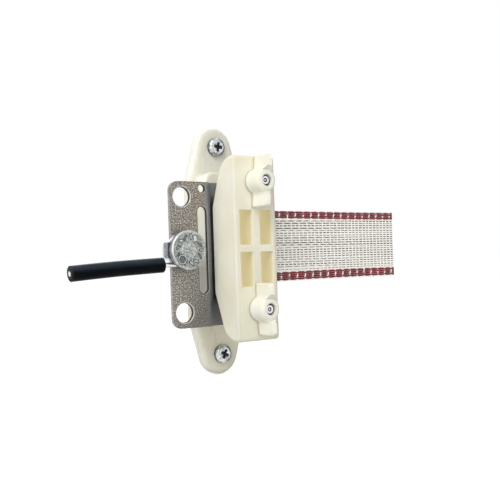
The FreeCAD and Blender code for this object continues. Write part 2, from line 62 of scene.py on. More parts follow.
def deselectAll():
    if bpy.context.object and bpy.context.object.mode != "OBJECT":
        bpy.ops.object.mode_set(mode="OBJECT")
    bpy.ops.object.select_all(action="DESELECT")


def makeActive(piece):
    deselectAll()
    piece.select_set(True)
    bpy.context.view_layer.objects.active = piece


def applyPlace(piece):
    makeActive(piece)
    bpy.ops.object.transform_apply(location=True, rotation=True, scale=True)


def applyModifiers(piece):
    makeActive(piece)
    for modifier in list(piece.modifiers):
        bpy.ops.object.modifier_apply(modifier=modifier.name)


def smooth(piece, angle):
    makeActive(piece)
    bpy.ops.object.shade_smooth_by_angle(angle=math.radians(angle))


def dress(piece, *materials):
    piece.data.materials.clear()
    for material in materials:
        piece.data.materials.append(material)


def joinInto(target, others):
    makeActive(target)
    for other in others:
        other.select_set(True)
    bpy.ops.object.join()


noiseRange = (0.3, 0.7)       # where most of a noise's values lie
plainWhite = (1.0, 1.0, 1.0)


class Finish:
    # a Principled material with short ways to add pattern nodes; lengths are in metres
    def __init__(self, name, **sockets):
        self.material = bpy.data.materials.new(name)
        self.material.use_nodes = True
        self.tree = self.material.node_tree
        self.shader = self.tree.nodes["Principled BSDF"]
        for socket, value in sockets.items():
            self.shader.inputs[socket.replace("_", " ")].default_value = value
        self.place = self.add("ShaderNodeTexCoord").outputs["Object"]

    def add(self, kind, **values):
        node = self.tree.nodes.new(kind)
        for key, value in values.items():
            setattr(node, key, value)
        return node

    def feed(self, value, socket):
        if isinstance(value, bpy.types.NodeSocket):
            self.tree.links.new(value, socket)
        else:
            socket.default_value = value

    def noise(self, grain, detail=3.0, rough=0.55, stretch=None):
        place = self.place
        if stretch:
            mapping = self.add("ShaderNodeMapping")
            self.feed(place, mapping.inputs["Vector"])
            mapping.inputs["Scale"].default_value = stretch
            place = mapping.outputs["Vector"]
        node = self.add("ShaderNodeTexNoise")
        self.feed(place, node.inputs["Vector"])
        node.inputs["Scale"].default_value = 1 / grain
        node.inputs["Detail"].default_value = detail
        node.inputs["Roughness"].default_value = rough
        return node.outputs["Fac"]

    def cells(self, size):
        node = self.add("ShaderNodeTexVoronoi")
        self.feed(self.place, node.inputs["Vector"])
        node.inputs["Scale"].default_value = 1 / size
        return node.outputs["Distance"]

    def ramp(self, value, *stops):
        node = self.add("ShaderNodeValToRGB")
        self.feed(value, node.inputs["Fac"])
        band = node.color_ramp.elements
        while len(band) < len(stops):
            band.new(0.5)
        for element, (position, tone) in zip(band, stops):
            element.position = position
            element.color = (*tone, 1)
        return node.outputs["Color"]

    def math(self, operation, *values):
        node = self.add("ShaderNodeMath", operation=operation)
        for value, socket in zip(values, node.inputs):
            self.feed(value, socket)
        return node.outputs[0]

    def times(self, first, *others):
        for other in others:
            first = self.math("MULTIPLY", first, other)
        return first

    def between(self, value, start, end, first=0.0, last=1.0):
        # first up to start, last from end on, and a straight way between them
        node = self.add("ShaderNodeMapRange", clamp=True)
        self.feed(value, node.inputs["Value"])
        limits = {"From Min": start, "From Max": end, "To Min": first, "To Max": last}
        for socket, number in limits.items():
            node.inputs[socket].default_value = number
        return node.outputs["Result"]

    def axis(self, letter):
        node = self.add("ShaderNodeSeparateXYZ")
        self.feed(self.place, node.inputs[0])
        return node.outputs[letter]

    def along(self, letter, *limits):
        return self.between(self.axis(letter), *limits)

    def offset(self, letter):
        # distance to either side of the part's middle
        return self.math("ABSOLUTE", self.axis(letter))

    def awayFrom(self, x, z, height=None):
        # distance from an axis that runs across the post's face
        dx = self.math("SUBTRACT", self.axis("X"), x)
        dz = self.math("SUBTRACT", height or self.axis("Z"), z)
        return self.math("SQRT", self.math("ADD", self.times(dx, dx), self.times(dz, dz)))

    def mix(self, share, a, b, blend="MIX"):
        node = self.add("ShaderNodeMix", data_type="RGBA", blend_type=blend)
        self.feed(share, node.inputs[0])
        for value, socket in ((a, node.inputs[6]), (b, node.inputs[7])):
            self.feed(value if isinstance(value, bpy.types.NodeSocket) else (*value, 1), socket)
        return node.outputs[2]

    def tinted(self, colour, zone, value=None, within=None):
        # a zone's range runs from where its tone starts to where it has its full share
        share = self.between(value or self.axis(zone["axis"]), *zone["range"], 0.0, zone["share"])
        if within:
            share = self.times(share, within)
        return self.mix(share, colour, zone["tone"])

    def shaded(self, colour, share, tone):
        return self.mix(1.0, colour, self.mix(share, plainWhite, tone), blend="MULTIPLY")

    def paint(self, socket, value):
        self.feed(value, self.shader.inputs[socket])

    def paintRough(self, grain, low, high):
        self.paint("Roughness", self.between(grain, *noiseRange, low, high))

    def glow(self, tone, strength):
        self.shader.inputs["Emission Color"].default_value = (*tone, 1)
        self.paint("Emission Strength", strength)

    def bump(self, height, depth, strength):
        node = self.add("ShaderNodeBump")
        node.inputs["Strength"].default_value = strength
        node.inputs["Distance"].default_value = depth
        self.feed(height, node.inputs["Height"])
        self.feed(node.outputs["Normal"], self.shader.inputs["Normal"])


ivory = {"cloud": 0.022, "cloudRange": (0.34, 0.66), "pale": 1.035, "palest": 0.97,
         "deep": (0.965, 0.955, 0.90), "matt": 0.006, "rough": (0.46, 0.60), "fine": 0.00055,
         "fineShare": 0.22, "broad": 0.009, "broadShare": 0.9, "depth": 0.00012, "strength": 0.55}

# what sets each ivory piece's look apart, by zones; places are in metres in the part's own frame
ivoryPieces = {
    "ivoryPlasticNut": {
        "tint": (0.865, 0.850, 0.765),
        # painted shade: a dark line at the nut's foot, where it stands on the block
        "foot": {"axis": "Y", "range": (-0.0437, -0.0428), "share": 0.75, "tone": (0.42, 0.38, 0.26)},
        "front": {"range": (-0.0523, -0.0540), "facing": (-0.75, -0.95), "tone": (0.95, 0.935, 0.82),
                  "glow": (0.96, 0.93, 0.74), "light": 0.085}},
    "ivoryPlasticBlock": {
        "tint": (0.885, 0.860, 0.742),
        "endShade": {"range": (0.0, -0.042), "tone": (0.945, 0.955, 0.935)},
        "pockets": {"range": (-0.0418, -0.0395), "halves": {"X": 0.0103, "Z": 0.0212}, "edge": 0.0004,
                    "floor": (-0.0305, -0.0264), "floorTone": (0.80, 0.76, 0.60),
                    "tone": (0.60, 0.555, 0.385), "glow": (0.76, 0.675, 0.43), "lit": (-0.0415, -0.0300),
                    "light": (0.16, 0.42), "floorLight": 0.30},
        "corner": {"side": (0.0112, 0.0122), "front": (-0.0398, -0.0408), "tone": (0.90, 0.895, 0.93)}},
    "ivoryPlasticDirtAndShade": {
        "tint": (0.868, 0.845, 0.738),
        "endShade": {"range": (-0.045, 0.045), "tone": (0.835, 0.86, 0.885),
                      "lighterSide": (-0.0135, -0.003), "lighterSideShare": 0.30},
        "padSide": {"left": (-0.0128, -0.0142), "front": (-0.0065, -0.0100), "end": (-0.034, -0.023),
                    "clamp": (-0.010, 0.008), "shadowShare": 0.6, "shadowTone": (0.46, 0.455, 0.455),
                    "tone": (0.95, 0.93, 0.83), "glow": (0.95, 0.93, 0.80), "light": 0.17},
        # painted highlight: the rims and sides just behind the front face are painted lighter
        "rim": {"axis": "Y", "range": (-0.0055, -0.0048), "share": 0.9, "tone": (0.95, 0.94, 0.85)},
        "streaks": {"grain": 0.0024, "detail": 5.0, "rough": 0.72, "stretch": (1.0, 1.0, 0.35),
                    "range": (0.48, 0.74), "share": 0.34, "tone": (0.47, 0.46, 0.41)}},
}


def shadeTowardsEnd(made, colour, zone):
    # painted shade: darker towards one end, where less light falls, and less so along one side, which gets
    # more light
    far = made.along("Z", *zone["range"])
    if "lighterSide" in zone:
        far = made.times(far, made.along("X", *zone["lighterSide"], zone["lighterSideShare"], 1.0))
    return made.shaded(colour, far, zone["tone"])


def lightPockets(made, colour, zone):
    # painted light and shade in the pockets: their walls are painted a warm, darker tone with a warm
    # painted glow, standing in for the light that the thin walls let through deep inside, and their floors
    # get a paler tone and little of the glow
    inside = made.along("Y", *zone["range"])
    for letter, half in zone["halves"].items():
        inside = made.times(inside, made.between(made.offset(letter), half + zone["edge"], half))
    floor = made.along("Y", *zone["floor"])
    colour = made.mix(inside, colour, zone["tone"])
    colour = made.mix(made.times(floor, inside), colour, zone["floorTone"])
    light = made.times(made.along("Y", *zone["lit"], *zone["light"]),
                       made.between(floor, 0.0, 1.0, 1.0, zone["floorLight"]))
    made.glow(zone["glow"], made.times(inside, light))
    return colour


def shadeCorners(made, colour, zone):
    # painted shade on the long front corners, which tones down their highlight
    past = made.times(made.between(made.offset("X"), *zone["side"]), made.along("Y", *zone["front"]))
    return made.shaded(colour, past, zone["tone"])


def lightFront(made, colour, zone):
    # painted light: the frontmost faces that face forward are painted paler and given a faint painted glow
    facing = made.add("ShaderNodeSeparateXYZ")
    made.feed(made.add("ShaderNodeTexCoord").outputs["Normal"], facing.inputs[0])
    front = made.times(made.along("Y", *zone["range"]), made.between(facing.outputs["Y"], *zone["facing"]))
    made.glow(zone["glow"], made.times(front, zone["light"]))
    return made.mix(front, colour, zone["tone"])


def lightPadSide(made, colour, zone):
    # painted light and shade on the pad's left side: paler, with a faint painted glow, above the cable
    # clamp, and a painted shadow below it
    beside = made.times(made.along("X", *zone["left"]), made.along("Y", *zone["front"]),
                        made.along("Z", *zone["end"]))
    above = made.times(beside, made.along("Z", *zone["clamp"]))
    below = made.times(beside, made.along("Z", *zone["clamp"], zone["shadowShare"], 0.0))
    colour = made.mix(below, colour, zone["shadowTone"])
    made.glow(zone["glow"], made.times(above, zone["light"]))
    return made.mix(above, colour, zone["tone"])


def streak(made, colour, zone):
    # dirt in streaks that run up the piece
    dirt = made.noise(zone["grain"], zone["detail"], zone["rough"], zone["stretch"])
    return made.tinted(colour, zone, dirt)


# the zones in the order of painting; a foot is a line of painted shade beside the neighbour, a rim is a
# painted highlight
ivoryZones = {"endShade": shadeTowardsEnd, "pockets": lightPockets, "corner": shadeCorners, "foot": Finish.tinted,
              "front": lightFront, "padSide": lightPadSide, "rim": Finish.tinted, "streaks": streak}


def makeIvory(name):
    made = Finish(name, IOR=1.49, Subsurface_Weight=0.30, Subsurface_Scale=0.0035,
                  Subsurface_Radius=(1.0, 0.75, 0.40), Specular_IOR_Level=0.28)
    piece = ivoryPieces[name]
    pale = tuple(min(ivory["palest"], c * ivory["pale"]) for c in piece["tint"])
    deep = tuple(c * share for c, share in zip(piece["tint"], ivory["deep"]))
    cloud = made.noise(ivory["cloud"], detail=2.0)
    colour = made.ramp(cloud, *zip(ivory["cloudRange"], (deep, pale)))
    for zone, paintZone in ivoryZones.items():
        if zone in piece:
            colour = paintZone(made, colour, piece[zone])
    made.paint("Base Color", colour)
    made.paintRough(made.noise(ivory["matt"], detail=4.0), *ivory["rough"])
    fine = made.times(made.noise(ivory["fine"], detail=2.0), ivory["fineShare"])
    broad = made.times(made.noise(ivory["broad"], detail=1.0), ivory["broadShare"])
    made.bump(made.math("ADD", fine, broad), ivory["depth"], ivory["strength"])
    return made.material


# each opening of the plate: x, z, half length of its straight part, radius
plateOpenings = {"upper": (-0.0323, 0.02775, 0.0, 0.0050), "lower": (-0.0323, -0.03215, 0.0, 0.0050),
                 "tie": (-0.0200, 0.0323, 0.0, 0.0021), "slot": (-0.0202, 0.0, 0.0200, 0.0029)}

plate = {
    "grain": 0.00065, "patch": 0.016,
    "speckles": ((0.34, (0.110, 0.100, 0.090)), (0.48, (0.262, 0.238, 0.212)),
                 (0.57, (0.350, 0.322, 0.290)), (0.66, (0.68, 0.65, 0.605))),
    "patches": ((0.35, (0.90, 0.93, 0.97)), (0.68, (1.04, 1.00, 0.965))),
    "bend": {"axis": "X", "range": (-0.0205, -0.0165), "share": 0.80, "tone": (0.290, 0.310, 0.345)},
    "foot": {"range": (-0.010, 0.012), "share": 0.60, "tone": (0.135, 0.133, 0.135)},
    "gap": {"axis": "X", "range": (-0.0140, -0.0130), "share": 0.9, "tone": (0.030, 0.033, 0.040),
            "ends": (0.030, 0.025)},
    "rim": {"range": (0.00065, 0.00045), "share": 0.85, "tone": (0.80, 0.77, 0.73)},
    "lip": {"range": (0.0006, 0.0003), "share": 0.7, "turn": (-0.0202, -0.0192),
            "left": (0.060, 0.060, 0.062), "right": (0.52, 0.53, 0.55)},
    "rough": (0.60, 0.40), "depth": 0.00012, "strength": 0.7,
    "sheetFacing": 0.93, "bendFacing": 0.02, "bendAt": (-0.0165, -0.0105), "wallReach": 0.05 * mm,
}


def pastOpening(made, hole):
    # distance from the edge of one of the plate's openings
    x, z, half, radius = plateOpenings[hole]
    high = made.math("ABSOLUTE", made.math("SUBTRACT", made.axis("Z"), z))
    pastStraight = made.math("MAXIMUM", made.math("SUBTRACT", high, half), 0.0)
    return made.math("SUBTRACT", made.awayFrom(x, 0.0, pastStraight), radius)


def makePlateSteel():
    made = Finish("platedSteel", Metallic=0.78, Specular_IOR_Level=0.4)
    grain = made.noise(plate["grain"], detail=1.0, rough=0.5)
    patch = made.noise(plate["patch"], detail=2.0)
    colour = made.mix(1.0, made.ramp(grain, *plate["speckles"]), made.ramp(patch, *plate["patches"]),
                      blend="MULTIPLY")
    colour = made.tinted(colour, plate["bend"])         # painted shade: duller and bluer towards the bend
    lowRight = made.math("SUBTRACT", made.axis("X"), made.axis("Z"))
    colour = made.tinted(colour, plate["foot"], lowRight)           # painted shade, darker towards its lower right corner
    ends = made.between(made.offset("Z"), *plate["gap"]["ends"])
    colour = made.tinted(colour, plate["gap"], within=ends)         # painted shade along the block's edge
    for hole in ("upper", "lower"):         # a painted highlight on the rolled edges of the two large holes
        colour = made.tinted(colour, plate["rim"], pastOpening(made, hole))
    lip = plate["lip"]                      # the slot's lip: painted shade on the left, a painted highlight on the right
    tone = made.ramp(made.along("X", *lip["turn"]), (0.0, lip["left"]), (1.0, lip["right"]))
    colour = made.tinted(colour, {**lip, "tone": tone}, pastOpening(made, "slot"))
    made.paint("Base Color", colour)
    made.paintRough(grain, *plate["rough"])
    made.bump(grain, plate["depth"], plate["strength"])
    return made.material


def makeShearedEdge():
    made = Finish("shearedSteelEdge", Metallic=0.9)
    lines = made.noise(grain=0.0006, stretch=(1.0, 0.15, 1.0))
    made.paint("Base Color", made.ramp(lines, (0.3, (0.27, 0.26, 0.25)), (0.7, (0.46, 0.45, 0.44))))
    made.paintRough(lines, low=0.50, high=0.34)
    made.bump(lines, depth=0.00005, strength=0.4)
    return made.material


# painted shade on a post screw's head: dark low round its rim, and a painted dark reflection in a crescent
# on its right
headShade = {"height": 0.05715, "tone": (0.050, 0.055, 0.062),
             "low": (-0.0076, -0.0066), "rim": (0.0043, 0.0048), "rimShare": 0.85,
             "front": (-0.0059, -0.0061), "right": (0.0002, 0.0020),
             "crescent": (0.0033, 0.0038), "crescentShare": 0.9,
             "outside": (0.0046, 0.0051), "outsideShare": 0.55}


def makeZinc(name, tone, rough=(0.20, 0.34), dark=0.80, head=None):
    made = Finish(name, Metallic=1.0)
    spangle = made.noise(grain=0.0018)
    colour = made.ramp(spangle, (0.38, tuple(dark * c for c in tone)), (0.60, tone))
    if head:
        # painted shade round the rim, and a painted dark reflection in the crescent
        away = made.awayFrom(0.0, head["height"], made.offset("Z"))
        rim = made.times(made.between(away, *head["rim"], 0.0, head["rimShare"]),
                         made.along("Y", *head["low"]))
        crescent = made.times(made.between(away, *head["crescent"], 0.0, head["crescentShare"]),
                              made.along("X", *head["right"]),
                              made.between(away, *head["outside"], 1.0, head["outsideShare"]),
                              made.along("Y", *head["front"]))
        colour = made.mix(made.math("MAXIMUM", rim, crescent), colour, head["tone"])
    made.paint("Base Color", colour)
    made.paintRough(made.noise(grain=0.0007, detail=2.0), *rough)
    made.bump(made.noise(grain=0.0005, detail=2.0), depth=0.00003, strength=0.35)
    return made.material


cast = {"grain": 0.0009, "pits": 0.0013, "tones": (0.30, 0.92, 1.60), "toneAt": (0.32, 0.50, 0.66),
        "pit": {"range": (0.22, 0.0), "share": 0.40, "tone": (0.12, 0.13, 0.13)},
        "rough": (0.50, 0.30), "grainShare": 0.7, "pitShare": 0.5, "depth": 0.00022, "strength": 0.7}

discZones = {
    "x": -0.0323,
    "sunk": {"range": (0.0044, 0.0049), "share": 0.30, "tone": (0.170, 0.190, 0.190),
             "land": (0.0091, 0.0086)},
    "rim": {"range": (0.0093, 0.0096), "share": 0.65, "tone": (0.74, 0.77, 0.75),
            "upLeft": (0.0, 0.009, 0.12, 1.0)},
    "flank": {"range": (0.02, 0.16), "share": 0.92, "tone": (0.030, 0.036, 0.038), "below": (0.85, 0.55)},
    "top": {"range": (0.70, 1.0), "share": 0.70, "tone": (0.74, 0.77, 0.76)},
    "side": {"axis": "Y", "range": (-0.0279, -0.0274), "share": 0.85, "tone": (0.175, 0.185, 0.215)},
}

tongueTopHighlight = {"axis": "X", "range": (-0.0375, -0.0381), "share": 0.9, "tone": (0.93, 0.94, 0.95),
             "above": (0.0040, 0.0044)}


def zoneDisc(made, colour):
    # duller sunk ring, a painted highlight on the rim's upper left, raised bars with dark flanks and a
    # painted highlight on their tops, darker side
    away = made.awayFrom(discZones["x"], 0.0)
    colour = made.tinted(colour, discZones["sunk"], away, made.between(away, *discZones["sunk"]["land"]))
    upLeft = made.math("SUBTRACT", made.axis("Z"), made.math("SUBTRACT", made.axis("X"), discZones["x"]))
    # painted highlight on the upper left of the rim
    colour = made.tinted(colour, discZones["rim"], away, made.between(upLeft, *discZones["rim"]["upLeft"]))
    relief = made.add("ShaderNodeAttribute", attribute_name="relief").outputs["Fac"]
    colour = made.tinted(colour, discZones["flank"], relief,
                         made.between(relief, *discZones["flank"]["below"]))
    # painted highlight on the tops of the raised bars
    colour = made.tinted(colour, discZones["top"], relief)
    return made.tinted(colour, discZones["side"])


def makeCastZinc(name, tone, isDisc=False):
    made = Finish(name, Metallic=0.72, Specular_IOR_Level=0.5)
    grain = made.noise(cast["grain"], detail=4.0, rough=0.7)
    pit = made.cells(cast["pits"])
    tones = [tuple(share * c for c in tone) for share in cast["tones"]]
    colour = made.tinted(made.ramp(grain, *zip(cast["toneAt"], tones)), cast["pit"], pit)
    if isDisc:
        colour = zoneDisc(made, colour)
    else:                                   # a painted highlight on the side tongue's upper edge
        colour = made.tinted(colour, tongueTopHighlight, within=made.along("Z", *tongueTopHighlight["above"]))
    made.paint("Base Color", colour)
    made.paintRough(grain, *cast["rough"])
    height = made.math("ADD", made.times(grain, cast["grainShare"]), made.times(pit, cast["pitShare"]))
    made.bump(height, cast["depth"], cast["strength"])
    return made.material


# painted shade: a dark material for hollows, gaps and the walls of openings
def makePaintedShade():
    made = Finish("shadeInHollows", Metallic=0.35, Roughness=0.7)
    dirt = made.noise(grain=0.0012)
    made.paint("Base Color", made.ramp(dirt, (0.3, (0.012, 0.013, 0.016)), (0.7, (0.050, 0.052, 0.058))))
    made.bump(made.noise(grain=0.0005), depth=0.00005, strength=0.4)
    return made.material


sheath = {"drawn": 0.0016, "stretch": (0.08, 1.0, 1.0), "dust": 0.010, "dustLight": 1.8, "dustLift": 0.001,
          "depth": 0.00008, "strength": 0.45}

# a painted sheen: the cable's upper side is painted lighter and bluer, in streaks; slope and level are
# those of the cable's own line
topSheen = {"slope": 0.055, "level": -0.00468, "range": (0.0003, 0.0026), "share": 1.0,
            "tone": (0.030, 0.038, 0.050), "streaks": (0.35, 0.65, 0.65, 1.0)}


def makeSheath(name, tone, rough=(0.30, 0.46), paintedSheen=None):
    made = Finish(name, Specular_IOR_Level=0.04)
    drawn = made.noise(sheath["drawn"], stretch=sheath["stretch"])
    dust = made.noise(sheath["dust"], detail=4.0)
    light = tuple(c * sheath["dustLight"] + sheath["dustLift"] for c in tone)
    colour = made.ramp(dust, (0.4, tone), (0.8, light))
    if paintedSheen:
        line = made.math("MULTIPLY_ADD", made.axis("X"), paintedSheen["slope"], paintedSheen["level"])
        above = made.math("SUBTRACT", made.axis("Z"), line)
        colour = made.tinted(colour, paintedSheen, above, made.between(drawn, *paintedSheen["streaks"]))
    made.paint("Base Color", colour)
    made.paintRough(drawn, *rough)
    made.bump(drawn, sheath["depth"], sheath["strength"])
    return made.material


def makeYarn(name, pale, deep, through=0.0):
    # through is a painted glow that stands in for the light coming from behind the thin tape
    made = Finish(name, Roughness=0.75, Specular_IOR_Level=0.25, Sheen_Weight=0.15, Sheen_Roughness=0.5,
                  Emission_Color=(*pale, 1), Emission_Strength=through)
    fibres = made.noise(grain=0.00045, stretch=(0.30, 1.0, 1.0))
    patch = made.noise(grain=0.004, detail=2.0)
    worn = {"range": (0.4, 0.7), "share": 0.35, "tone": tuple(0.82 * c for c in pale)}
    colour = made.ramp(fibres, (0.32, deep), (0.62, pale))
    made.paint("Base Color", made.tinted(colour, worn, patch))
    made.bump(fibres, depth=0.00010, strength=0.7)
    return made.material


def makeBrass():
    made = Finish("turnedBrass", Metallic=1.0)
    turned = made.noise(grain=0.0004, stretch=(0.2, 1.0, 0.2))
    made.paint("Base Color", made.ramp(turned, (0.3, (0.52, 0.40, 0.17)), (0.7, (0.72, 0.58, 0.30))))
    made.paintRough(turned, low=0.24, high=0.38)
    return made.material


ivoryNut = makeIvory("ivoryPlasticNut")
ivoryBlock = makeIvory("ivoryPlasticBlock")
ivoryBase = makeIvory("ivoryPlasticDirtAndShade")
plateSteel = makePlateSteel()
plateEdge = makeShearedEdge()
brightZinc = makeZinc("brightZinc", (0.70, 0.73, 0.74), dark=0.50, head=headShade)
boltZinc = makeZinc("boltZinc", (0.66, 0.69, 0.71), rough=(0.26, 0.42))
castZinc = makeCastZinc("castZinc", (0.430, 0.455, 0.440), isDisc=True)
castZincBlue = makeCastZinc("castZincBlue", (0.300, 0.305, 0.345))
paintedShade = makePaintedShade()
brass = makeBrass()
sheathBlack = makeSheath("sheathBlack", (0.0012, 0.0020, 0.0036), paintedSheen=topSheen)
innerBlack = makeSheath("innerInsulation", (0.030, 0.032, 0.036), rough=(0.5, 0.62))
wireZinc = makeZinc("wireZinc", (0.86, 0.86, 0.86), rough=(0.18, 0.30))
yarnWhite = makeYarn("yarnWhite", (0.97, 0.95, 0.90), (0.88, 0.855, 0.80), through=0.155)
yarnRed = makeYarn("yarnRed", (0.315, 0.043, 0.058), (0.095, 0.007, 0.014))
yarnRedEdge = makeYarn("yarnRedEdge", (0.145, 0.009, 0.018), (0.040, 0.002, 0.005))
steelStrand = makeZinc("steelStrand", (0.15, 0.142, 0.138), rough=(0.45, 0.6))
print("materials made")


nodeFinish = {
    "mounting_base": (ivoryBase, "ivory_plastic"),
    "clamp_block": (ivoryBlock, "ivory_plastic"),
    "upper_wing_nut": (ivoryNut, "ivory_plastic"),
    "lower_wing_nut": (ivoryNut, "ivory_plastic"),
    "upper_nut_insert": (brass, "nut_insert_metal"),
    "lower_nut_insert": (brass, "nut_insert_metal"),
    "joint_clamp_jaw": (castZincBlue, "cast_zinc"),
    "joint_clamp_washer": (boltZinc, "zinc_steel"),
    "joint_clamp_nut": (boltZinc, "zinc_steel"),
}
for nodeName, (finish, slotName) in nodeFinish.items():
    dress(nodes[nodeName], finish)


def inOpening(centre):
    # whether a point lies on the wall of one of the plate's openings
    return any(math.hypot(centre.x - x, max(0, abs(centre.z - z) - half)) < radius + plate["wallReach"]
               for x, z, half, radius in plateOpenings.values())


contactPlate = nodes["contact_plate"]
dress(contactPlate, plateSteel, plateEdge, paintedShade)
# its sheared edges are brighter than the sheet, and the walls of its openings get painted shade
for face in contactPlate.data.polygons:
    onBend = (abs(face.normal.z) < plate["bendFacing"]
              and plate["bendAt"][0] < face.center.x < plate["bendAt"][1])
    if abs(face.normal.y) < plate["sheetFacing"] and not onBend:
        face.material_index = 2 if inOpening(face.center) else 1
print("CAD nodes dressed")


camera = {"place": (-0.2431, -0.3730, -0.0077), "heading": -35.80, "pitch": 0.95, "roll": -1.93,
          "lens": 57.1, "sensor": 36, "nearest": 0.01}


def setCamera():
    data = bpy.data.cameras.new("viewCamera")
    data.lens = camera["lens"]
    data.sensor_width = camera["sensor"]
    data.clip_start = camera["nearest"]
    eye = bpy.data.objects.new("viewCamera", data)
    bpy.context.scene.collection.objects.link(eye)
    turn = (Matrix.Rotation(math.radians(camera["heading"]), 4, "Z")
            @ Matrix.Rotation(math.radians(90 + camera["pitch"]), 4, "X")
            @ Matrix.Rotation(math.radians(camera["roll"]), 4, "Z"))
    eye.matrix_world = Matrix.Translation(Vector(camera["place"])) @ turn
    bpy.context.scene.camera = eye


setCamera()
print("camera placed")


lead = {
    "points": [(-0.0459, -0.02387, -0.0072), (-0.0614, -0.02357, -0.0078),
               (-0.0794, -0.02347, -0.0088), (-0.0949, -0.02377, -0.0099)],
    "sheath": 0.0077, "inner": 0.0048, "wire": 0.0025,
    "innerShow": 0.0009,      # inner insulation past the sheath's end at the clamp
    "cutShow": 0.00025,       # step between the layers at the far cut end
    "wireEnd": -0.0260,       # where the wire ends, right of the clamp's bolt
    "alongSteps": 16, "roundSteps": 7,
}


def smoothLine(name, points, diameter, material):
    curve = bpy.data.curves.new(name, "CURVE")
    curve.dimensions = "3D"
    spline = curve.splines.new("NURBS")
    spline.points.add(len(points) - 1)
    for point, place in zip(spline.points, points):
        point.co = (*place, 1)
    spline.order_u = 3
    spline.use_endpoint_u = True
    spline.resolution_u = lead["alongSteps"]
    curve.bevel_depth = diameter / 2
    curve.bevel_resolution = lead["roundSteps"]
    curve.use_fill_caps = True
    curve.materials.append(material)
    piece = bpy.data.objects.new(name, curve)
    bpy.context.scene.collection.objects.link(piece)
    return piece


def pastEnd(points, reach):
    # the route with its last point moved out along its last run
    run = (Vector(points[-1]) - Vector(points[-2])).normalized()
    return list(points[:-1]) + [tuple(Vector(points[-1]) + run * reach)]


def makeLead():
    route = lead["points"]
    start = Vector(route[0])
    cover = smoothLine("leadSheath", route, lead["sheath"], sheathBlack)
    innerStart = tuple(start + Vector((lead["innerShow"], 0, 0)))
    inner = smoothLine("leadInnerInsulation", pastEnd([innerStart] + route[1:], lead["cutShow"]),
                       lead["inner"], innerBlack)
    wireStart = (lead["wireEnd"], start.y, start.z)
    wire = smoothLine("leadConductor", pastEnd([wireStart, tuple(start)] + route[1:], 2 * lead["cutShow"]),
                      lead["wire"], wireZinc)
    for piece, node, slotName in ((cover, "lead_sheath", "black_sheath"),
                                  (inner, "lead_inner_insulation", "inner_insulation"),
                                  (wire, "lead_conductor", "galvanised_wire")):
        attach(piece, "base")
        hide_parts(node)


makeLead()
print("lead-out cable made")


tape = {
    "weftPitch": 2.92 * mm, "weftWide": 0.86 * mm, "weftThick": 0.30 * mm, "weftBehind": 0.22 * mm,
    "warpPitch": 1.37 * mm, "warpWide": 0.90 * mm, "warpThick": 0.34 * mm, "wave": 0.17 * mm,
    "steps": 6, "weftSteps": 3,             # stations from one crossing to the next, along and across
    "weftExtra": 3,                         # rows of stations that a weft has beyond those of the warps
    "endInset": 0.2 * mm,                   # the yarns stop this far inside the ends
    "bandGap": 0.65,                        # from a red band to the warp beside it, in widths of a warp
    "strandWide": 0.50 * mm, "strandThick": 0.22 * mm, "strandWave": 0.26 * mm, "strandBehind": 0.16 * mm,
    "strandWidths": (0.70, 0.95, 1.10, 1.30), "strandWaves": (0, 1, 1),
    "strandSwing": (1.7, 1.6), "strandSink": 0.42, "strandGrow": (0.92, 0.38),
    "redWide": 1.05 * mm, "redWideLow": 1.22 * mm, "redThick": 0.50 * mm, "redRows": 4, "redFront": 1.2,
    "redFull": 0.97, "redUnder": 0.20, "redPinch": 0.38, "redPull": 0.42, "redSink": 0.42 * mm,
    "hopWide": 0.80 * mm, "hopThick": 0.34 * mm, "hopLean": 0.34 * mm, "hopReach": 0.42, "hopTall": 1.1,
    "hopRows": ((1, 2), (1, 2), (1, 1), (2, 1), (2, 2)),                # a hop's first red row and how many
    "hopArch": ((-1.0, -0.05 * mm), (-0.6, 0.42 * mm), (0.0, 0.56 * mm), (0.6, 0.42 * mm),
                (1.0, -0.05 * mm)),
    "selvedgeTop": 0.35 * mm, "selvedgeBottom": 0.55 * mm, "edgeCord": (0.17 * mm, 0.16 * mm),
    "edgeCordAt": (0.5, 0.35),              # shares of the selvedges at which the edge cords run
    "warpStray": 0.13 * mm, "redStray": 0.14 * mm, "weftStray": 0.16 * mm,
    "strayPhase": 6.3, "strayLength": (0.018, 0.034), "seed": 7,
}
alongTape, acrossTape = Vector((1, 0, 0)), Vector((0, 0, 1))


def addYarn(mesh, centres, side, halfWide, halfThick, material=0, corners=6):
    # a closed yarn of flattened section that follows its centres; side is the direction of its width
    rings = []
    for index, centre in enumerate(centres):
        wide = halfWide[index] if isinstance(halfWide, list) else halfWide
        ring = []
        for corner in range(corners):
            angle = 2 * math.pi * corner / corners
            ring.append(mesh.verts.new(centre + side * (wide * math.cos(angle))
                                       + Vector((0, halfThick * math.sin(angle), 0))))
        rings.append(ring)
    for ringA, ringB in zip(rings, rings[1:]):
        for corner in range(corners):
            following = (corner + 1) % corners
            face = mesh.faces.new((ringA[corner], ringB[corner], ringB[following], ringA[following]))
            face.material_index = material
            face.smooth = True
    for cap in (rings[0], rings[-1][::-1]):
        mesh.faces.new(cap).material_index = material


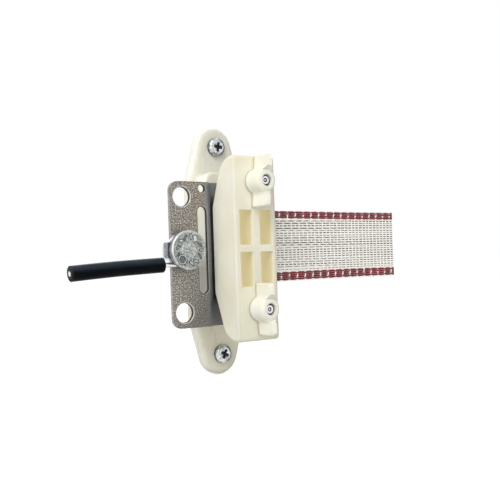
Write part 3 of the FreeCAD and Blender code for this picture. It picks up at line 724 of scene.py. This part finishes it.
class Weave:
    # where the tape's threads lie: warps run along it, wefts across it
    def __init__(self):
        self.low, self.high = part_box("fence_tape")
        self.long = self.high.x - self.low.x
        self.middle = (self.low.y + self.high.y) / 2
        self.chance = random.Random(tape["seed"])
        self.wefts = int(self.long / tape["weftPitch"])
        self.firstWeft = self.low.x + (self.long - (self.wefts - 1) * tape["weftPitch"]) / 2
        self.stations = [self.low.x + tape["endInset"]]
        step, last = tape["weftPitch"] / tape["steps"], self.high.x - tape["endInset"]
        while self.stations[-1] + step < last:
            self.stations.append(self.stations[-1] + step)
        self.stations.append(last)
        topRow, lowRow = tape["redWide"] / 2, tape["redWideLow"] / 2
        top, bottom = self.high.z - tape["selvedgeTop"], self.low.z + tape["selvedgeBottom"]
        self.redRows = [(top - (2 * row + 1) * topRow, topRow) for row in range(tape["redRows"])]
        self.topEdge = self.redRows[-1][0] - topRow
        self.redRows += [(bottom + (2 * row + 1) * lowRow, lowRow) for row in range(tape["redRows"])]
        self.bottomEdge = self.redRows[-1][0] + lowRow
        gap = tape["warpWide"] * tape["bandGap"]
        self.bottom = self.bottomEdge + gap
        self.rows = round((self.topEdge - gap - self.bottom) / tape["warpPitch"]) + 1
        self.rowPitch = (self.topEdge - gap - self.bottom) / (self.rows - 1)

    def wander(self, amount):
        phase = self.chance.uniform(0, tape["strayPhase"])
        length = self.chance.uniform(*tape["strayLength"])
        return lambda x: amount * math.sin(x / length + phase)

    def over(self, x, row):
        # 1 where a warp passes behind a weft, -1 where it passes in front
        return math.cos(math.pi * ((x - self.firstWeft) / tape["weftPitch"] + row))


def addStrand(weave, mesh, row, z, drift):
    # a steel strand; towards the free end it lies behind more of the wefts and is wider
    wide = tape["strandWide"] / 2 * weave.chance.choice(tape["strandWidths"])
    wave = tape["strandWave"] * weave.chance.choice(tape["strandWaves"])
    centres, widths = [], []
    for x in weave.stations:
        share = (x - weave.low.x) / weave.long
        swing = wave * min(1, tape["strandSwing"][0] - tape["strandSwing"][1] * share)
        widths.append(wide * (tape["strandGrow"][0] + tape["strandGrow"][1] * share))
        y = weave.middle + tape["strandBehind"] - tape["strandSink"] * swing + swing * weave.over(x, row)
        centres.append(Vector((x, y, z + drift(x))))
    addYarn(mesh, centres, acrossTape, widths, tape["strandThick"] / 2, corners=4)


def addWarps(weave, body, strands):
    for row in range(weave.rows):
        z, drift = weave.bottom + row * weave.rowPitch, weave.wander(tape["warpStray"])
        centres = [Vector((x, weave.middle + tape["wave"] * weave.over(x, row), z + drift(x)))
                   for x in weave.stations]
        addYarn(body, centres, acrossTape, tape["warpWide"] / 2, tape["warpThick"] / 2)
        if row < weave.rows - 1:
            addStrand(weave, strands, row, z + weave.rowPitch / 2, drift)
    topCord, lowCord = tape["edgeCordAt"]
    for z in (weave.high.z - tape["selvedgeTop"] * topCord, weave.low.z + tape["selvedgeBottom"] * lowCord):
        addYarn(body, [Vector((x, weave.middle, z)) for x in weave.stations], acrossTape, *tape["edgeCord"])


def addRedBands(weave, body, bands):
    # in front, every second weft hops over a few of the red rows
    hops = {(band, weft): weave.chance.choice(tape["hopRows"])
            for band in (0, 1) for weft in range(0, weave.wefts, 2)}
    for index, (z, reach) in enumerate(weave.redRows):
        band, row = divmod(index, tape["redRows"])
        outward = -1 if band else 1
        isOuter = row in (0, tape["redRows"] - 1)
        pull = 0.0
        if isOuter:                         # a hop draws the outer rows towards the band's middle
            pull = tape["redPull"] * reach * (outward if row else -outward)
        if row == 0:
            drift = weave.wander(tape["redStray"])
        centres, widths = [], []
        for x in weave.stations:
            place = (x - weave.firstWeft) / tape["weftPitch"]
            weft = 2 * round(place / 2)
            near = max(0.0, 1 - abs(place - weft) / tape["hopReach"])
            first, span = hops.get((band, weft), (0, 0))
            under = near if first <= row < first + span else 0.0
            y = weave.middle - tape["wave"] * tape["redFront"] + under * tape["redSink"]
            centres.append(Vector((x, y, z + drift(x) + pull * near)))
            squeeze = tape["redUnder"] * under + tape["redPinch"] * (near - under)
            widths.append(reach * (tape["redFull"] - squeeze))
        addYarn(bands, centres, acrossTape, widths, tape["redThick"] / 2, material=int(isOuter), corners=8)
        for (hopBand, weft), (first, span) in hops.items():
            if hopBand == band and row == first:
                x0, tall = weave.firstWeft + weft * tape["weftPitch"], span * reach * tape["hopTall"]
                middleZ = z + drift(x0) - (span - 1) * reach * outward
                hop = [Vector((x0 + turn * tape["hopLean"], weave.middle - lift, middleZ + turn * tall))
                       for turn, lift in tape["hopArch"]]
                addYarn(body, hop, alongTape, tape["hopWide"] / 2, tape["hopThick"] / 2)


def addWefts(weave, body):
    steps = (weave.rows + tape["weftExtra"]) * tape["weftSteps"]
    for weft in range(weave.wefts):
        x0 = weave.firstWeft + weft * tape["weftPitch"]
        slant = weave.wander(tape["weftStray"])
        centres = []
        for step in range(steps + 1):
            z = weave.high.z - (weave.high.z - weave.low.z) * step / steps
            row = (z - weave.bottom) / weave.rowPitch
            y = weave.middle - tape["wave"] * math.cos(math.pi * (weft + row))
            if z > weave.topEdge or z < weave.bottomEdge:       # behind the red bands
                y = weave.middle + tape["weftBehind"]
            centres.append(Vector((x0 + slant(z), y, z)))
        addYarn(body, centres, alongTape, tape["weftWide"] / 2, tape["weftThick"] / 2)


def makeTapePiece(name, mesh, *materials):
    bmesh.ops.recalc_face_normals(mesh, faces=mesh.faces)
    data = bpy.data.meshes.new(name)
    mesh.to_mesh(data)
    mesh.free()
    piece = bpy.data.objects.new(name, data)
    bpy.context.scene.collection.objects.link(piece)
    dress(piece, *materials)
    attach(piece, "base")
    return piece


def makeTape():
    weave = Weave()
    body, bands, strands = bmesh.new(), bmesh.new(), bmesh.new()
    addWarps(weave, body, strands)
    addRedBands(weave, body, bands)
    addWefts(weave, body)
    cloth = makeTapePiece("tapeWeave", body, yarnWhite)
    marker = makeTapePiece("tapeMarkerBands", bands, yarnRed, yarnRedEdge)
    steel = makeTapePiece("tapeSteelStrands", strands, steelStrand)
    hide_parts("fence_tape")


makeTape()
print("woven tape made")


# a thread's foot and flat are shares of its pitch
fastener = {"weld": 0.001 * mm, "crease": 30, "threadFoot": 0.46, "threadFlat": 0.07}


def turnedShell(name, centre, profile, steps):
    # a vertex is extruded along a profile of (radius, y) and spun about an axis across the post's face
    deselectAll()
    start = Vector((centre[0] + profile[0][0], profile[0][1], centre[1]))
    bpy.ops.mesh.primitive_plane_add(size=mm, location=start)
    piece = bpy.context.object
    bpy.ops.object.mode_set(mode="EDIT")
    bpy.ops.mesh.select_all(action="SELECT")
    bpy.ops.mesh.merge(type="CENTER")
    for (r0, y0), (r1, y1) in zip(profile, profile[1:]):
        bpy.ops.mesh.extrude_region_move(TRANSFORM_OT_translate={"value": (r1 - r0, y1 - y0, 0)})
    bpy.ops.mesh.select_all(action="SELECT")
    bpy.ops.mesh.spin(steps=steps, angle=2 * math.pi, axis=(0, 1, 0), center=(centre[0], 0, centre[1]))
    bpy.ops.mesh.select_all(action="SELECT")
    bpy.ops.mesh.remove_doubles(threshold=2 * fastener["weld"])
    bpy.ops.mesh.normals_make_consistent(inside=False)
    bpy.ops.object.mode_set(mode="OBJECT")
    applyPlace(piece)
    piece.name = piece.data.name = name
    return piece


def threadRidge(name, centre, yStart, yEnd, screw):
    # a V-shaped ridge that climbs along the axis in whole turns; yStart is the end nearer the viewer
    deselectAll()
    bpy.ops.mesh.primitive_plane_add(size=mm, location=(centre[0], yStart, centre[1]))
    piece = bpy.context.object
    root, pitch = screw["core"] * screw["rootShare"], screw["pitch"]
    foot, flat = pitch * fastener["threadFoot"], pitch * fastener["threadFlat"]
    # the plane's four corners become the ridge's section
    corners = ((root, -foot), (screw["crest"], -flat), (root, foot), (screw["crest"], flat))
    for vert, (r, y) in zip(piece.data.vertices, corners):
        vert.co = (r, y, 0)
    bpy.ops.object.mode_set(mode="EDIT")
    bpy.ops.mesh.select_all(action="SELECT")
    bpy.ops.mesh.delete(type="ONLY_FACE")
    bpy.ops.object.mode_set(mode="OBJECT")
    climb = piece.modifiers.new("climb", "SCREW")
    climb.axis = "Y"
    climb.angle = 2 * math.pi
    climb.screw_offset = pitch
    climb.iterations = int((yEnd - yStart) / pitch)
    climb.steps = climb.render_steps = screw["threadSteps"]
    applyModifiers(piece)
    bpy.ops.object.mode_set(mode="EDIT")
    bpy.ops.mesh.select_all(action="SELECT")
    bpy.ops.mesh.remove_doubles(threshold=fastener["weld"])
    bpy.ops.mesh.select_all(action="DESELECT")
    bpy.ops.mesh.select_non_manifold()
    bpy.ops.mesh.fill_holes(sides=8)
    bpy.ops.mesh.select_all(action="SELECT")
    bpy.ops.mesh.normals_make_consistent(inside=False)
    bpy.ops.object.mode_set(mode="OBJECT")
    applyPlace(piece)
    piece.name = piece.data.name = name
    return piece


def keptHead(node, name, yCut, keepFront):
    # a copy of a fastener's CAD node, cut off across its shank
    deselectAll()
    piece = nodes[node].copy()
    piece.data = nodes[node].data.copy()
    for key in list(piece.keys()):          # the copy is no CAD node
        del piece[key]
    piece.parent = None
    bpy.context.scene.collection.objects.link(piece)
    piece.hide_render = piece.hide_viewport = False
    piece.name = piece.data.name = name
    makeActive(piece)
    bpy.ops.object.mode_set(mode="EDIT")
    bpy.ops.mesh.select_all(action="SELECT")
    bpy.ops.mesh.remove_doubles(threshold=fastener["weld"])
    bpy.ops.mesh.bisect(plane_co=(0, yCut, 0), plane_no=(0, 1, 0), use_fill=True,
                        clear_outer=keepFront, clear_inner=not keepFront)
    bpy.ops.object.mode_set(mode="OBJECT")
    return piece


def nodePlace(node):
    # a fastener's front and back along its axis, and where that axis crosses the post's face
    low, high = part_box(node)
    return low.y, high.y, ((low.x + high.x) / 2, (low.z + high.z) / 2)


def fromCentre(place, centre):
    return math.hypot(place.x - centre[0], place.z - centre[1])


def finishFastener(head, parts, node, body):
    joinInto(head, parts)
    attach(head, body)
    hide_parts(node)


postScrew = {"core": 1.65 * mm, "crest": 2.38 * mm, "pitch": 2.0 * mm, "rootShare": 0.94, "threadSteps": 28,
             "neckEnd": 0.2 * mm, "threadStart": 2 * mm, "tip": 6.0 * mm, "pointShare": 0.12, "steps": 32,
             "recess": 3.2 * mm, "recessFloor": 0.35 * mm, "recessEnd": -6.0 * mm}


def makePostScrew(node, name):
    front, back, centre = nodePlace(node)
    head = keptHead(node, name, postScrew["neckEnd"], keepFront=True)
    dress(head, brightZinc, paintedShade)
    for face in head.data.polygons:         # painted shade in the cross recess
        sunk = front + postScrew["recessFloor"] < face.center.y < postScrew["recessEnd"]
        if sunk and fromCentre(face.center, centre) < postScrew["recess"]:
            face.material_index = 1
    smooth(head, fastener["crease"])
    tip = postScrew["tip"]
    tipStart = back - tip
    profile = [(0, postScrew["neckEnd"]), (postScrew["core"], postScrew["neckEnd"]),
               (postScrew["core"], tipStart), (0, back)]
    core = turnedShell(name + "Core", centre, profile, postScrew["steps"])
    ridge = threadRidge(name + "Thread", centre, postScrew["threadStart"], back - tip / 2, postScrew)
    for vert in ridge.data.vertices:        # the thread runs out along the point
        past = vert.co.y - tipStart
        if past > 0:
            share = max(postScrew["pointShare"], 1 - past / tip)
            vert.co.x = centre[0] + (vert.co.x - centre[0]) * share
            vert.co.z = centre[1] + (vert.co.z - centre[1]) * share
    for part in (core, ridge):
        dress(part, brightZinc)
        smooth(part, fastener["crease"])
    finishFastener(head, [core, ridge], node, "base")


clampBolt = {"core": 2.52 * mm, "crest": 2.98 * mm, "pitch": 1.0 * mm, "rootShare": 0.97, "threadSteps": 28,
             "plain": 14.0 * mm, "chamfer": 0.9 * mm, "rim": 2.08 * mm, "rimDeep": 0.5 * mm, "steps": 40,
             "cup": 1.12 * mm, "cupSlack": 0.1 * mm, "cupSlope": 0.15 * mm, "cupDeep": 0.4 * mm,
             "pipFoot": 0.58 * mm, "pipEdge": (0.46 * mm, 0.10 * mm), "pipTop": 0.04 * mm,
             "turnedTo": 0.45 * mm, "offCup": 0.42 * mm, "offRim": 0.24 * mm, "brightTo": 1.0 * mm,
             "cupShade": (0.45 * mm, 0.12 * mm), "rimShade": 0.05 * mm, "threadShade": 2.4 * mm}


def makeClampBolt(node, name):
    front, back, centre = nodePlace(node)
    cut = back - clampBolt["plain"]
    head = keptHead(node, name, cut, keepFront=False)
    cup, floor = clampBolt["cup"], front + clampBolt["cupDeep"]
    pipEdge, pipBack = clampBolt["pipEdge"]
    profile = [(0, cut), (clampBolt["core"], cut), (clampBolt["core"], front + clampBolt["rimDeep"]),
               (clampBolt["rim"], front), (cup, front), (cup - clampBolt["cupSlope"], floor),
               (clampBolt["pipFoot"], floor), (pipEdge, front + pipBack), (0, front + clampBolt["pipTop"])]
    core = turnedShell(name + "Core", centre, profile, clampBolt["steps"])
    for vert in core.data.vertices:         # the end was turned a little off the thread's centre
        if vert.co.y < front + clampBolt["turnedTo"]:
            inCup = fromCentre(vert.co, centre) < cup + clampBolt["cupSlack"]
            vert.co.x -= clampBolt["offCup"] if inCup else clampBolt["offRim"]
    ridge = threadRidge(name + "Thread", centre, front + clampBolt["chamfer"], cut, clampBolt)
    for part in (head, core, ridge):
        dress(part, boltZinc, paintedShade, wireZinc)
        smooth(part, fastener["crease"])
    cupReach, cupBack = clampBolt["cupShade"]
    for face in core.data.polygons:         # a bright end, with painted shade in its cup and round its threads
        radius, deep = fromCentre(face.center, centre), face.center.y - front
        if deep < clampBolt["brightTo"]:
            isShaded = (radius < cup + cupReach and deep > cupBack
                       or radius > clampBolt["rim"] and deep > clampBolt["rimShade"])
            face.material_index = 1 if isShaded else 2
    for face in ridge.data.polygons:
        if face.center.y < front + clampBolt["threadShade"]:
            face.material_index = 1
    finishFastener(head, [core, ridge], node, "base")


for place in ("upper", "lower"):
    makePostScrew("post_screw_" + place, place + "PostScrew")
    makeClampBolt("clamp_bolt_" + place, place + "ClampBolt")
print("screws and bolts made")


disc = {
    "radius": 10.25 * mm, "edge": 0.70 * mm, "boss": 4.3 * mm, "bossHigh": 0.12 * mm, "bossSlope": 0.5 * mm,
    "rimLand": 9.1 * mm, "rimSlope": 0.35 * mm, "sink": 0.24 * mm, "frontSlack": 0.02 * mm,
    "front": 0.3 * mm, "back": 3.6 * mm, "backRings": (4 * mm, 7 * mm), "backEdge": 0.4 * mm,
    "sideRing": 1.3 * mm, "rings": 44, "steps": 160,
    "core": 3.45 * mm, "crest": 3.98 * mm, "pitch": 1.25 * mm, "rootShare": 0.97, "endChamfer": 0.6 * mm,
    "coreSteps": 48, "coreIn": 1 * mm, "threadStart": 2.6 * mm, "threadStop": 0.9 * mm, "threadSteps": 36,
    "grain": 0.95 * mm, "grainDeep": 0.26 * mm, "grainMiddle": 0.62, "crease": 60,
    "pips": 13, "pipAt": 6.8 * mm, "pipHalf": (1.10 * mm, 0.42 * mm), "pipHigh": 0.45 * mm, "pipSeed": 3,
    "pipStray": 0.12, "pipLean": 1.0, "pipLong": (0.75, 1.30), "pipWide": (0.8, 1.45),
    "pipRise": (0.55, 1.0), "pipFoot": 1.35, "pipSlope": 0.5,
    "bigPip": 2, "bigPipShape": (0.7, 1.3, 2.0, 1.25),
    "dish": (-133, 6.5 * mm, 2.2 * mm), "dishLip": 0.65 * mm, "dishHigh": 0.50 * mm, "dishDeep": 0.10,
}


def limited(value):
    return min(1.0, max(0.0, value))


def pipHeight(x, z):
    # plain raised bars round the disc's face, each a little different, as cast
    chance, turn, reach = random.Random(disc["pipSeed"]), math.atan2(z, x), math.hypot(x, z)
    halfLong, halfWide = disc["pipHalf"]
    height = 0.0
    for pip in range(disc["pips"]):
        centre = 2 * math.pi * (pip + chance.uniform(-disc["pipStray"], disc["pipStray"])) / disc["pips"]
        lean, long = chance.uniform(-disc["pipLean"], disc["pipLean"]), chance.uniform(*disc["pipLong"])
        wide, rise = chance.uniform(*disc["pipWide"]), chance.uniform(*disc["pipRise"])
        if pip == disc["bigPip"]:
            lean, long, wide, rise = disc["bigPipShape"]
        gap = (turn - centre + math.pi) % (2 * math.pi) - math.pi
        out, side = reach - disc["pipAt"], gap * disc["pipAt"]
        along = out * math.cos(lean) + side * math.sin(lean)
        across = side * math.cos(lean) - out * math.sin(lean)
        far = max(abs(along) / (halfLong * long), abs(across) / (halfWide * wide))
        height = max(height, limited((disc["pipFoot"] - far) / disc["pipSlope"]) * rise * disc["pipHigh"])
    bearing, out, wide = disc["dish"]       # one plain round dish with a raised lip
    bearing, lipWide = math.radians(bearing), disc["dishLip"]
    away = math.hypot(x - out * math.cos(bearing), z - out * math.sin(bearing))
    if away < wide + lipWide:
        lip = max(0.0, 1 - abs(away - wide) / lipWide)
        height = disc["dishHigh"] * (lip if away > wide - lipWide else -disc["dishDeep"])
    return height


def discProfile(face, back):
    # from the middle of the back, round the rim and across the front to its low boss
    edge, outer = disc["edge"], disc["radius"]
    profile = [(r, back) for r in (0, *disc["backRings"], outer - disc["backEdge"])]
    profile += [(outer, back - disc["backEdge"]), (outer, back - disc["sideRing"]), (outer, face + edge)]
    profile += [(outer - edge * (1 - math.cos(a)), face + edge * (1 - math.sin(a)))
                for a in (math.radians(30), math.radians(60), math.radians(90))]
    for ring in range(1, disc["rings"] + 1):
        r = (outer - edge) * (1 - ring / disc["rings"])
        slope = min(limited((disc["rimLand"] - r) / disc["rimSlope"]),
                    limited((r - disc["boss"]) / disc["bossSlope"]))
        raised = disc["bossHigh"] if r < disc["boss"] else 0
        profile.append((max(r, 0), face + disc["sink"] * slope - raised))
    return profile


def makeCastBolt():
    front, tail, centre = nodePlace("joint_clamp_bolt")
    face, back = front + disc["front"], front + disc["back"]
    head = turnedShell("castClampBolt", centre, discProfile(face, back), disc["steps"])
    relief = head.data.attributes.new("relief", "FLOAT", "POINT")
    for vert in head.data.vertices:
        if vert.co.y < face + disc["sink"] + disc["frontSlack"]:
            height = pipHeight(vert.co.x - centre[0], vert.co.z - centre[1])
            relief.data[vert.index].value = abs(height) / disc["pipHigh"]
            vert.co.y -= height
    pebble = bpy.data.textures.new("castPebble", "CLOUDS")
    pebble.noise_scale = disc["grain"]
    pebble.noise_depth = 2
    texture = head.modifiers.new("pebble", "DISPLACE")
    texture.texture = pebble
    texture.texture_coords = "LOCAL"
    texture.strength = disc["grainDeep"]
    texture.mid_level = disc["grainMiddle"]
    applyModifiers(head)
    core, start, chamfer = disc["core"], back - disc["coreIn"], disc["endChamfer"]
    profile = [(0, start), (core, start), (core, tail - chamfer), (core - chamfer, tail), (0, tail)]
    shank = turnedShell("castBoltCore", centre, profile, disc["coreSteps"])
    ridge = threadRidge("castBoltThread", centre, back + disc["threadStart"], tail - disc["threadStop"],
                        disc)
    for part in (head, shank, ridge):
        dress(part, castZinc if part is head else boltZinc)
        smooth(part, disc["crease"] if part is head else fastener["crease"])
    finishFastener(head, [shank, ridge], "joint_clamp_bolt", "cable_bolt")


makeCastBolt()
print("cable clamp made")


studio = {"ambient": 0.58, "ambientTint": (1.0, 0.99, 0.965), "aim": (0, -0.02, 0),
          "floorTone": (0.62, 0.62, 0.615), "floorLift": 0.62, "floorSize": 12, "floorGap": 0.2 * mm}


def seenDirectly(tree):
    # 1 for camera, glossy and transmission rays
    paths = tree.nodes.new("ShaderNodeLightPath")
    share = paths.outputs["Is Camera Ray"]
    for other in ("Is Glossy Ray", "Is Transmission Ray"):
        join = tree.nodes.new("ShaderNodeMath")
        join.operation = "MAXIMUM"
        tree.links.new(share, join.inputs[0])
        tree.links.new(paths.outputs[other], join.inputs[1])
        share = join.outputs[0]
    return share


def makeWorld():
    world = bpy.data.worlds.new("studioWorld")
    bpy.context.scene.world = world
    world.use_nodes = True
    tree = world.node_tree
    ambient = tree.nodes["Background"]
    ambient.inputs["Color"].default_value = (*studio["ambientTint"], 1)
    ambient.inputs["Strength"].default_value = studio["ambient"]
    white = tree.nodes.new("ShaderNodeBackground")
    white.inputs["Color"].default_value = (*plainWhite, 1)
    white.inputs["Strength"].default_value = 1.0
    mix = tree.nodes.new("ShaderNodeMixShader")
    tree.links.new(seenDirectly(tree), mix.inputs[0])
    tree.links.new(ambient.outputs[0], mix.inputs[1])
    tree.links.new(white.outputs[0], mix.inputs[2])
    tree.links.new(mix.outputs[0], tree.nodes["World Output"].inputs["Surface"])


def makeFloor():
    deselectAll()
    height = cadBox[0].z - studio["floorGap"]
    bpy.ops.mesh.primitive_plane_add(size=studio["floorSize"], location=(0, 0, height))
    floor = bpy.context.object
    floor.name = "floor"
    material = bpy.data.materials.new("paleFloor")
    material.use_nodes = True
    tree = material.node_tree
    shader = tree.nodes["Principled BSDF"]
    shader.inputs["Base Color"].default_value = (*studio["floorTone"], 1)
    shader.inputs["Roughness"].default_value = 0.9
    shader.inputs["Emission Color"].default_value = (*plainWhite, 1)
    lift = tree.nodes.new("ShaderNodeMath")
    lift.operation = "MULTIPLY"
    tree.links.new(seenDirectly(tree), lift.inputs[0])
    lift.inputs[1].default_value = studio["floorLift"]
    tree.links.new(lift.outputs[0], shader.inputs["Emission Strength"])
    floor.data.materials.append(material)


coolWhite = (0.99, 0.995, 1.0)
lamps = [
    {"name": "keyLamp", "from": (-0.43, -0.33, 0.46), "size": 0.40, "watts": 2.5, "tint": coolWhite},
    {"name": "frontLamp", "from": (-0.48, -0.40, -0.05), "size": 0.34, "watts": 0.85, "tint": coolWhite},
    {"name": "backLamp", "from": (0.35, 0.55, 0.45), "size": 0.50, "watts": 1.6, "tint": plainWhite},
]


def makeLamp(lamp):
    data = bpy.data.lights.new(lamp["name"], "AREA")
    data.size = lamp["size"]
    data.energy = lamp["watts"]
    data.color = lamp["tint"]
    lampObject = bpy.data.objects.new(lamp["name"], data)
    bpy.context.scene.collection.objects.link(lampObject)
    lampObject.location = lamp["from"]
    aim = Vector(studio["aim"]) - Vector(lamp["from"])
    lampObject.rotation_euler = aim.to_track_quat("-Z", "Y").to_euler()


makeWorld()
makeFloor()
for lamp in lamps:
    makeLamp(lamp)
bpy.context.scene.view_settings.view_transform = "Standard"
print("studio made")
